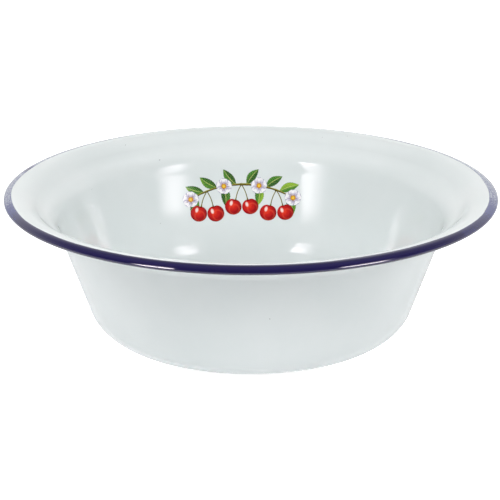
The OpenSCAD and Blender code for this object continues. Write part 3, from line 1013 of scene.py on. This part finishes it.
# Each kind of motif has its own seed and its own spread of sizes
LEAF_SEED, CHERRY_SEED, BLOSSOM_SEED = 7, 11, 19
LEAF_SPREAD, CHERRY_SPREAD = (0.94, 1.03), (0.97, 1.02)
PETAL_SPREAD, STAMEN_SPREAD = (0.96, 1.03), (0.85, 1.1)


def on_branch(g, share):
    """Place on the branch at that share of its turn, and the branch's own turn there."""
    turn = -share * g.branch_turn
    return -g.branch_r * math.sin(turn), g.branch_r * (math.cos(turn) - 1), turn


class BASIN_OT_stems(bpy.types.Operator):
    """Prints the branch and the stalks of the garland"""
    bl_idname = "basin.stems"
    bl_label = "Garland stems"

    def execute(self, context):
        form, g = form_of(context), context.scene.basin_garland
        pieces = [new_object("garland_stems", patch("garland_stems", self.branch(g)))]
        for share in PAIR_SHARES:
            for side in (-1, 1):
                pieces.append(new_object("stalk", patch("stalk", self.stalk(g, share, side))))
        stems = joined(pieces)
        stems.data.materials.append(stem_ink(context.scene.basin_colours))
        lay_ink(stems, form, g, g.print_t * STEM_LIFT)
        keep_piece(stems, "print_stems")
        return {"FINISHED"}

    def branch(self, g):
        """Rows of the branch: thinner towards its ends, thicker at its knots, and uneven as bark is."""
        steps, strips = 96, 4
        end_thinning, knot_swell, knot_half, bark_swell, bark_waves = 0.45, 0.22, 0.02, 0.07, 41
        rows = []
        for i in range(steps + 1):
            share = 2 * i / steps - 1
            x, y, turn = on_branch(g, share)
            knot = sum(math.exp(-((share - at) / knot_half) ** 2) for at in KNOT_SHARES)
            half = g.branch_w / 2 * (1.0 - end_thinning * share * share + knot_swell * min(1.0, knot)
                                     + bark_swell * math.sin(bark_waves * share))
            sin_t, cos_t = math.sin(turn), math.cos(turn)
            rows.append([(x - half * k * sin_t, y + half * k * cos_t, i / steps, (k + 1) / 2)
                         for k in lanes(strips)])
        return rows

    def stalk(self, g, share, side):
        """Rows of a stalk from the branch down into its cherry: bowed, and thicker at both ends."""
        steps, across = 24, (-1, -0.33, 0.33, 1)
        bow, into_cherry = 0.75 * MM, 0.9 * MM
        waist, head_swell, head_from, foot_swell, foot_to = 0.85, 0.75, 0.86, 0.6, 0.12
        x, y, _ = on_branch(g, share)
        lean = side * g.stalk_lean
        rows = []
        for i in range(steps + 1):
            t = i / steps
            bowed = side * bow * math.sin(math.pi * t)
            half = g.stalk_w / 2 * (waist + head_swell * smooth(t, head_from, 1)
                                    + foot_swell * (1 - smooth(t, 0, foot_to)))
            down = t * (g.stalk_l + into_cherry)
            rows.append([(x + (bowed + half * k) * math.cos(lean) + down * math.sin(lean),
                          y + (bowed + half * k) * math.sin(lean) - down * math.cos(lean), t, (1 - k) / 2)
                         for k in across])
        return rows


class BASIN_OT_leaves(bpy.types.Operator):
    """Prints the toothed leaves of the garland"""
    bl_idname = "basin.leaves"
    bl_label = "Garland leaves"

    def execute(self, context):
        form, g = form_of(context), context.scene.basin_garland
        draw = random.Random(LEAF_SEED)
        places = []
        for side in (-1, 1):
            for share, lean in zip(LEAF_SHARES, LEAF_TURNS):
                x, y, turn = on_branch(g, side * share)
                lean = math.radians(lean if side > 0 else 180 - lean)
                places.append((x, y, 0, (0, 0, turn + lean), draw.uniform(*LEAF_SPREAD), draw.random()))
        ink = leaf_ink(context.scene.basin_colours)
        leaves = motifs_on("garland_leaves", patch("leaf", self.leaf(g)), places, ink)
        lay_ink(leaves, form, g, g.print_t * LEAF_LIFT)
        keep_piece(leaves, "print_leaves")
        return {"FINISHED"}

    def leaf(self, g):
        """Rows of one leaf from its stalk to its tip, widest before the middle, with teeth along it."""
        teeth, per_tooth, strips = 9, 6, 8
        fullness, tip_thinning, tooth_foot, tooth_h, sway_share = 1.12, 0.24, 0.94, 0.13, 0.05
        steps = teeth * per_tooth
        rows = []
        for i in range(steps + 1):
            t = i / steps
            lens = 4 * t * (1 - t) * (fullness - tip_thinning * t)
            tooth = (t * teeth) % 1.0 if 0 < i < steps else 0
            half = g.leaf_w / 2 * lens * (tooth_foot + tooth_h * tooth)
            sway = sway_share * g.leaf_l * math.sin(math.pi * t)
            rows.append([(t * g.leaf_l, sway + half * k, t, (k + 1) / 2) for k in lanes(strips)])
        return rows


class BASIN_OT_cherries(bpy.types.Operator):
    """Prints the cherries of the garland"""
    bl_idname = "basin.cherries"
    bl_label = "Garland cherries"

    def execute(self, context):
        form, g = form_of(context), context.scene.basin_garland
        rings, around, lean_share = 8, 64, 0.7
        draw = random.Random(CHERRY_SEED)
        places = []
        for share in PAIR_SHARES:
            x, y, _ = on_branch(g, share)
            for side in (-1, 1):
                reach, lean = g.stalk_l + g.cherry_d / 2, side * g.stalk_lean
                places.append((x + reach * math.sin(lean), y - reach * math.cos(lean), 0,
                               (0, 0, lean * lean_share), draw.uniform(*CHERRY_SPREAD), draw.random()))
        cherry = patch("cherry", disc(rings, around, lambda share, a: self.point(g, share, a)), True)
        ink = cherry_ink(context.scene.basin_colours)
        cherries = motifs_on("garland_cherries", cherry, places, ink)
        lay_ink(cherries, form, g, g.print_t * CHERRY_LIFT)
        keep_piece(cherries, "print_cherries")
        return {"FINISHED"}

    def point(self, g, share, a):
        """A point of the cherry: round, a little wider than high, with a dent at the stalk."""
        dent, dent_half, widening = 0.09, 0.3, 0.02
        off_top = (a - TURN / 4 + math.pi) % TURN - math.pi
        outline = 1 - dent * math.exp(-(off_top / dent_half) ** 2) + widening * math.cos(2 * a)
        x, y = (share * g.cherry_d / 2 * outline * f(a) for f in (math.cos, math.sin))
        return x, y, 0.5 + x / g.cherry_d, 0.5 + y / g.cherry_d


class BASIN_OT_blossoms(bpy.types.Operator):
    """Prints the petals, hearts and stamens of the blossoms"""
    bl_idname = "basin.blossoms"
    bl_label = "Garland blossoms"

    def execute(self, context):
        form, g = form_of(context), context.scene.basin_garland
        colours = context.scene.basin_colours
        petal_waver, stamen_waver = 0.05, 0.12
        heart_rings, heart_around = 4, 28
        draw = random.Random(BLOSSOM_SEED)
        hearts, petals, stamens = [], [], []
        for share in BLOSSOM_SHARES:
            x, y, _ = on_branch(g, share)
            hearts.append((x, y, 0, (0, 0, draw.uniform(0, TURN)), 1.0, draw.random()))
            for count, waver, spread, places in ((PETALS, petal_waver, PETAL_SPREAD, petals),
                                                 (STAMENS, stamen_waver, STAMEN_SPREAD, stamens)):
                for i in range(count):
                    places.append((x, y, 0, (0, 0, TURN * i / count + draw.uniform(-waver, waver)),
                                   draw.uniform(*spread), draw.random()))
        petal_piece = motifs_on("garland_petals", patch("petal", self.petal(g)), petals, petal_ink(colours))
        lay_ink(petal_piece, form, g, g.print_t * PETAL_LIFT)
        keep_piece(petal_piece, "print_petals")

        ink = centre_ink(colours)
        rows = disc(heart_rings, heart_around, lambda share, a: self.heart_point(g, share, a))
        heart = patch("heart", rows, True)
        centre_piece = joined([motifs_on("garland_centres", heart, hearts, ink),
                               motifs_on("stamens", patch("stamen", self.stamen(g)), stamens, ink)])
        lay_ink(centre_piece, form, g, g.print_t * CENTRE_LIFT)
        keep_piece(centre_piece, "print_centres")
        return {"FINISHED"}

    def petal(self, g):
        """Rows of one petal from its narrow claw to its notched tip."""
        steps, strips, radius = 14, 12, g.blossom_d / 2
        start, half_w = 0.14 * radius, 0.56 * radius
        widest, claw_w, tip_narrowing = 0.6, 0.22, 0.62
        rounding, notch, notch_half = 0.2, 0.1, 0.2
        rows = []
        for i in range(steps + 1):
            t = i / steps
            if t < widest:
                width = claw_w + (1 - claw_w) * math.sin(math.pi / 2 * t / widest)
            else:
                width = math.sqrt(1 - tip_narrowing * ((t - widest) / (1 - widest)) ** 2)
            row = []
            for k in lanes(strips):
                drawn_in = t ** 4 * (rounding * k * k + notch * math.exp(-(k / notch_half) ** 2))
                row.append((k * half_w * width, start + (radius - start) * (t - drawn_in), (k + 1) / 2, t))
            rows.append(row)
        return rows

    def heart_point(self, g, share, a):
        """A point of the blossom's heart, with a scalloped edge."""
        scallop, scallops, edge_tone = 0.06, 9, 0.8
        reach = share * g.centre_d / 2 * (1 + scallop * math.cos(scallops * a))
        return reach * math.cos(a), reach * math.sin(a), 0.5, edge_tone * share

    def stamen(self, g):
        """Rows of one stamen: a thin thread that ends in a round head."""
        steps, head_at, thread_half, head_half = 12, 0.86, 0.09 * MM, 0.3 * MM
        start_share, reach_share = 0.75, 0.95
        rows = []
        for i in range(steps + 1):
            t = i / steps
            head = math.sqrt(max(0.0, 1 - ((t - head_at) / (1 - head_at)) ** 2))
            half = max(thread_half if t < head_at else 0, head_half * head)
            reach = g.centre_d / 2 * (start_share + reach_share * t)
            rows.append([(-half, reach, 0, 1.0), (half, reach, 1, 1.0)])
        return rows


# The specks that show from the front: degrees from +Y to the right, radius and size in mm, and 1 for the
# inner face or -1 for the outer one
SEEN_SPECKS = ((-39.15, 162.3, 0.42, 1), (-30.74, 146.6, 0.5, 1), (-35.14, 128.3, 0.3, 1),
               (21.57, 162.5, 0.26, 1), (28.74, 166.9, 0.26, 1), (174.62, 132.2, 0.34, -1))
# Others, strewn over this share of the section in these sizes, in mm
SPECK_SEED = 23
STREWN_SPECKS, STREWN_SHARES, STREWN_SIZES = 9, (0.3, 0.85), (0.18, 0.4)


class BASIN_OT_specks(bpy.types.Operator):
    """Sets the fine dark specks of ground enamel that fired up through the white"""
    bl_idname = "basin.specks"
    bl_label = "Fired specks"

    def execute(self, context):
        form = form_of(context)
        rings, around, dome, sunk = 3, 10, 0.16, 0.06
        rows = disc(rings, around, lambda share, a: (share * math.cos(a), share * math.sin(a), 0, 0))
        mesh = patch("speck", rows, True)
        for vert in mesh.vertices:
            vert.co.z = dome * (1 - vert.co.x ** 2 - vert.co.y ** 2) - sunk
        line = form.line()
        last = len(line) - 1
        draw = random.Random(SPECK_SEED)
        places = []
        for turn, radius, size, side in SEEN_SPECKS:
            station = min(line, key=lambda st: abs(st[0] - radius * MM))
            places.append(self.place(form, station, TURN / 4 - math.radians(turn), size * MM, side))
        for _ in range(STREWN_SPECKS):
            turn, share = draw.uniform(0, TURN), draw.uniform(*STREWN_SHARES)
            size, side = draw.uniform(*STREWN_SIZES) * MM, draw.choice((-1, 1))
            places.append(self.place(form, line[round(share * last)], turn, size, side))
        specks = motifs_on("fired_specks", mesh, places, bpy.data.materials[GROUND_NAME])
        specks.data.shade_smooth()
        keep_piece(specks, None)
        return {"FINISHED"}

    def place(self, form, station, turn, size, side):
        """A speck at a turn about the axis and a station of the section, on the inner or the outer face."""
        at = form.inner_cover + form.swell(station) if side > 0 else form.outer_cover
        radius, height = beside(station, at)
        tilt = station[2] if side > 0 else station[2] + math.pi
        return radius * math.cos(turn), radius * math.sin(turn), height, (0, -tilt, turn), size, 0.5


# The studio

# Every lamp and card stands this far away. Turns go from the camera's side to the right, rises up from level
STAGE_REACH = 1600 * MM
LAMP_AIM_H = 60 * MM
# Lamps, whose watts are the studio's sizes of the same names: turn and rise in degrees, and width
LAMPS = (("right_light", 51.0, 23.6, 500 * MM), ("left_light", -41.5, 23.7, 500 * MM),
         ("front_light", 0, 52, 800 * MM), ("back_light", 180, 50, 1000 * MM),
         ("side_left", -85, 35, 500 * MM), ("side_right", 85, 35, 500 * MM))
# Cards of light that only the glaze mirrors, drawn in degrees as they look from one place of the bowl, in mm.
# Across and upright say where a card dawns, is full, begins to fade and ends. Tilt slants it sideways. Below
# the lean's first number it leans by the second, and above it the light grows to the gain
CARDS = (
    {"name": "softbox_right", "light": "softbox_light", "share": 1.0, "turn": 51.0, "rise": 23.6,
     "seen_from": (-62.7, 120, 62), "across": (-13.0, -1.0, -0.5, 11.5), "upright": (-8.35, -7.2, 6.5, 8.5),
     "lean": (-4.5, 1.15), "tilt": 0.112, "gain": 1.3},
    {"name": "softbox_left", "light": "softbox_light", "share": 1.0, "turn": -41.5, "rise": 23.7,
     "seen_from": (50.4, 125, 60), "across": (-8.5, 4.5, 6.0, 8.7), "upright": (-7.6, -6.3, 9.0, 11.0),
     "lean": (-3.2, -0.76), "tilt": -0.09, "gain": 1.8},
    {"name": "strip_right", "light": "strip_light", "share": 0.7, "turn": 51.0, "rise": 4.0,
     "seen_from": (58, -168, 104), "across": (-14.0, -9.0, 7.0, 14.0), "upright": (-8.0, -7.0, 7.0, 8.0),
     "lean": (0, 0), "tilt": 0.0, "gain": 1.45},
    {"name": "strip_left", "light": "strip_light", "share": 1.0, "turn": -43.0, "rise": 4.0,
     "seen_from": (-58, -168, 104), "across": (-12.0, -3.0, 9.0, 11.0), "upright": (-8.0, -7.0, 7.0, 8.0),
     "lean": (0, 0), "tilt": 0.0, "gain": 1.45},
)
# Size of every card in degrees, the degrees over which its light grows to the gain, and the share of light
# that it adds where one face of the glaze mirrors it by way of another
CARD_W, CARD_H, CARD_GROWTH, CARD_AGAIN = 40.0, 32.0, 2.5, 3.2
CARD_COLOUR = "#fff4f9"
# The room in the glaze is bright behind the bowl and low down: the y and z of the directions where that
# changes, what is left of it high up, and what is left of it elsewhere
BEHIND_Y, LOW_Z, HIGH_SHARE, ELSEWHERE_SHARE = (-0.25, 0.5), (0.35, 0.75), 0.15, 0.1
# The floor's glow to the camera, and its glow in the glaze before and behind the y where that changes
FLOOR_COLOUR, FLOOR_SEEN, FLOOR_MIRRORED = "#eeeff0", 0.6, (0.4, 0.1)
FLOOR_CHANGE_Y = (-60 * MM, 100 * MM)
FLOOR_HALF, FLOOR_FRONT = 6000 * MM, -420 * MM
SENSOR_MM = 36


def towards(turn, rise):
    """The direction of a turn from the camera's side to the right and a rise from level, in radians."""
    return Vector((math.sin(turn) * math.cos(rise), -math.cos(turn) * math.cos(rise), math.sin(rise)))


class BASIN_OT_stage(bpy.types.Operator):
    """Sets up the white room, its floor, softboxes, lamps and camera"""
    bl_idname = "basin.stage"
    bl_label = "Studio"

    def execute(self, context):
        scene, s = context.scene, context.scene.basin_studio
        self.room(scene, s)
        self.floor(s)
        for card in CARDS:
            self.softbox(card, card["share"] * getattr(s, card["light"]))
        for name, turn, rise, size in LAMPS:
            self.lamp(name, math.radians(turn), math.radians(rise), size, getattr(s, name))
        self.camera(scene, s)
        scene.view_settings.view_transform = "Standard"
        return {"FINISHED"}

    def room(self, scene, s):
        """White to the eye all round; it lights the bowl faintly, and the glaze mirrors it low behind."""
        world = bpy.data.worlds.new("White room")
        scene.world = world
        world.use_nodes = True
        tree = world.node_tree
        tree.nodes.clear()
        output = add_node(tree, "ShaderNodeOutputWorld")
        rays = add_node(tree, LIGHT_PATH).outputs
        way = add_node(tree, AXES, None, (add_node(tree, COORDINATES).outputs["Generated"],)).outputs
        behind = add_node(tree, *SOFT_SPAN, (way["Y"], *BEHIND_Y))
        low = add_node(tree, *SOFT_SPAN, (way["Z"], *LOW_Z, 1.0, HIGH_SHARE))
        backdrop = add_node(tree, *TIMES, (behind, low))
        glazed = add_node(tree, *EVEN_SPAN,
                          (backdrop, 0.0, 1.0, ELSEWHERE_SHARE * s.room_mirror, s.room_mirror))
        mirrored = add_node(tree, *HIGHER, (rays["Is Glossy Ray"], rays["Is Transmission Ray"]))
        lit = add_node(tree, *NUMBER_MIX, (mirrored, s.room_light, glazed))
        seen = add_node(tree, *NUMBER_MIX, (rays["Is Camera Ray"], lit, 1.0))
        light = add_node(tree, "ShaderNodeBackground", None, {"Color": WHITE, "Strength": seen})
        tree.links.new(light.outputs[0], output.inputs["Surface"])

    def floor(self, s):
        """Pale paper that glows white to the camera, keeps the bowl's shadow and is clear from below."""
        material, tree, output = new_material("White studio floor")
        rays = add_node(tree, LIGHT_PATH).outputs
        paper = add_node(tree, "ShaderNodeBsdfDiffuse", None, {"Color": linear(FLOOR_COLOUR)})
        place = add_node(tree, COORDINATES).outputs["Object"]
        depth = add_node(tree, AXES, None, (place,)).outputs["Y"]
        glazed = add_node(tree, *SOFT_SPAN, (depth, *FLOOR_CHANGE_Y, *FLOOR_MIRRORED))
        mirrored = add_node(tree, *HIGHER, (rays["Is Glossy Ray"], rays["Is Transmission Ray"]))
        lift = add_node(tree, *PLUS, (add_node(tree, *TIMES, (rays["Is Camera Ray"], FLOOR_SEEN)),
                                      add_node(tree, *TIMES, (mirrored, glazed))))
        lift = add_node(tree, *PLUS, (lift, s.floor_light))
        glow = add_node(tree, "ShaderNodeEmission", None, {"Color": WHITE, "Strength": lift})
        both = add_node(tree, "ShaderNodeAddShader", None, (paper, glow))
        below = add_node(tree, "ShaderNodeNewGeometry").outputs["Backfacing"]
        unseen = add_node(tree, *TIMES, (below, rays["Is Camera Ray"]))
        clear = add_node(tree, "ShaderNodeBsdfTransparent")
        mix = add_node(tree, "ShaderNodeMixShader", None, (unseen, both, clear))
        tree.links.new(mix.outputs[0], output.inputs["Surface"])
        corners = [(x * FLOOR_HALF, y, 0) for x, y in ((-1, FLOOR_FRONT), (1, FLOOR_FRONT),
                                                       (1, FLOOR_HALF), (-1, FLOOR_HALF))]
        self.card("floor", corners, material)

    def softbox(self, card, light):
        """A card of light, bright where its across and upright say and clear elsewhere."""
        turn, rise = math.radians(card["turn"]), math.radians(card["rise"])
        way = towards(turn, rise)
        side = Vector((math.cos(turn), math.sin(turn), 0))
        up = side.cross(way) if side.cross(way).z > 0 else way.cross(side)
        half_w, half_h = (STAGE_REACH * math.radians(degrees) / 2 for degrees in (CARD_W, CARD_H))
        middle = Vector([c * MM for c in card["seen_from"]]) + STAGE_REACH * way
        corners = [middle + side * half_w * i + up * half_h * j
                   for i, j in ((-1, -1), (1, -1), (1, 1), (-1, 1))]
        material, tree, output = new_material("Softbox cloth, " + card["name"])
        place = add_node(tree, AXES, None, (add_node(tree, MAP, {"uv_map": "Card"}),)).outputs
        u = add_node(tree, *TIMES, (add_node(tree, *MINUS, (place["X"], 0.5)), CARD_W))
        v = add_node(tree, *TIMES, (add_node(tree, *MINUS, (place["Y"], 0.5)), CARD_H))
        lean_from, lean_by = card["lean"]
        bright = add_node(tree, *SOFT_SPAN, (v, lean_from, lean_from + CARD_GROWTH, 1.0, card["gain"]))
        below = add_node(tree, *LOWER, (add_node(tree, *MINUS, (v, lean_from)), 0.0))
        tilted = add_node(tree, *PLUS, (v, add_node(tree, *TIMES, (u, card["tilt"]))))
        leant = add_node(tree, *PLUS, (u, add_node(tree, *TIMES, (below, lean_by))))
        rays = add_node(tree, LIGHT_PATH).outputs
        past_first, before_diffuse = 1.5, 0.5
        again = add_node(tree, *TIMES, (add_node(tree, *ABOVE, (rays["Ray Depth"], past_first)),
                                        add_node(tree, *UNDER, (rays["Diffuse Depth"], before_diffuse))))
        again = add_node(tree, *PLUS, (add_node(tree, *TIMES, (again, CARD_AGAIN)), 1.0))
        strength = add_node(tree, *TIMES, (add_node(tree, *TIMES, (again, light)), bright))
        for value, (dawn, full, fade, end) in ((leant, card["across"]), (tilted, card["upright"])):
            for dark, lit in ((dawn, full), (end, fade)):
                strength = add_node(tree, *TIMES, (add_node(tree, *SOFT_SPAN, (value, dark, lit)), strength))
        glow = add_node(tree, "ShaderNodeEmission", None,
                        {"Color": linear(CARD_COLOUR), "Strength": strength})
        clear = add_node(tree, "ShaderNodeBsdfTransparent")
        both = add_node(tree, "ShaderNodeAddShader", None, (glow, clear))
        tree.links.new(both.outputs[0], output.inputs["Surface"])
        cloth = self.card(card["name"], corners, material)
        cloth.visible_camera = False
        cloth.visible_diffuse = False
        cloth.visible_shadow = False

    def lamp(self, name, turn, rise, size, watts):
        """A square area light at that turn from the camera's side and that rise, aimed at the bowl."""
        data = bpy.data.lights.new(name, "AREA")
        data.size, data.energy = size, watts
        lamp = new_object(name, data)
        way = towards(turn, rise)
        lamp.location = Vector((0, 0, LAMP_AIM_H)) + STAGE_REACH * way
        lamp.rotation_euler = way.to_track_quat("Z", "Y").to_euler()
        lamp.visible_camera = False
        lamp.visible_glossy = False

    def card(self, name, corners, material):
        """A flat stage card with its own map."""
        mesh = bpy.data.meshes.new(name)
        mesh.from_pydata(corners, [], [(0, 1, 2, 3)])
        uv = mesh.uv_layers.new(name="Card")
        for loop, place in zip(mesh.loops, ((0, 0), (1, 0), (1, 1), (0, 1))):
            uv.data[loop.index].uv = place
        mesh.materials.append(material)
        card = new_object(name, mesh)
        return card

    def camera(self, scene, s):
        """The camera in front of the bowl, level from side to side."""
        data = bpy.data.cameras.new("camera")
        data.sensor_width, data.lens = SENSOR_MM, s.lens
        camera = new_object("camera", data)
        camera.location = (s.view_side, -s.view_distance * math.cos(s.view_elevation),
                           s.view_height + s.view_distance * math.sin(s.view_elevation))
        camera.rotation_euler = (math.pi / 2 - s.view_elevation, 0, 0)
        scene.camera = camera


OPERATORS = (BASIN_OT_hidden_layers, BASIN_OT_white_coats, BASIN_OT_rim_colour, BASIN_OT_stems,
             BASIN_OT_leaves, BASIN_OT_cherries, BASIN_OT_blossoms, BASIN_OT_specks, BASIN_OT_stage)
GROUPS = {"basin_bowl": BowlSizes, "basin_garland": GarlandSizes, "basin_colours": EnamelColours,
          "basin_studio": StudioSizes}


class BASIN_PT_panel(bpy.types.Panel):
    """Lists the pieces of the basin and the sizes and colours they take"""
    bl_idname = "BASIN_PT_panel"
    bl_label = "Enamel basin bowl"
    bl_space_type = "VIEW_3D"
    bl_region_type = "UI"
    bl_category = "Basin"

    def draw(self, context):
        for operator in OPERATORS:
            self.layout.operator(operator.bl_idname)
        for label, group in GROUPS.items():
            box = self.layout.box()
            for key in group.__annotations__:
                box.prop(getattr(context.scene, label), key)


def register():
    for cls in (*GROUPS.values(), *OPERATORS, BASIN_PT_panel):
        bpy.utils.register_class(cls)
    for label, group in GROUPS.items():
        setattr(bpy.types.Scene, label, PointerProperty(type=group))


def unregister():
    for label in GROUPS:
        delattr(bpy.types.Scene, label)
    for cls in reversed((*GROUPS.values(), *OPERATORS, BASIN_PT_panel)):
        bpy.utils.unregister_class(cls)


def main():
    register()
    bpy.ops.basin.hidden_layers()
    bpy.ops.basin.white_coats()
    bpy.ops.basin.rim_colour()
    bpy.ops.basin.stems()
    bpy.ops.basin.leaves()
    bpy.ops.basin.cherries()
    bpy.ops.basin.blossoms()
    bpy.ops.basin.specks()
    bpy.ops.basin.stage()


if __name__ == "__main__":
    main()
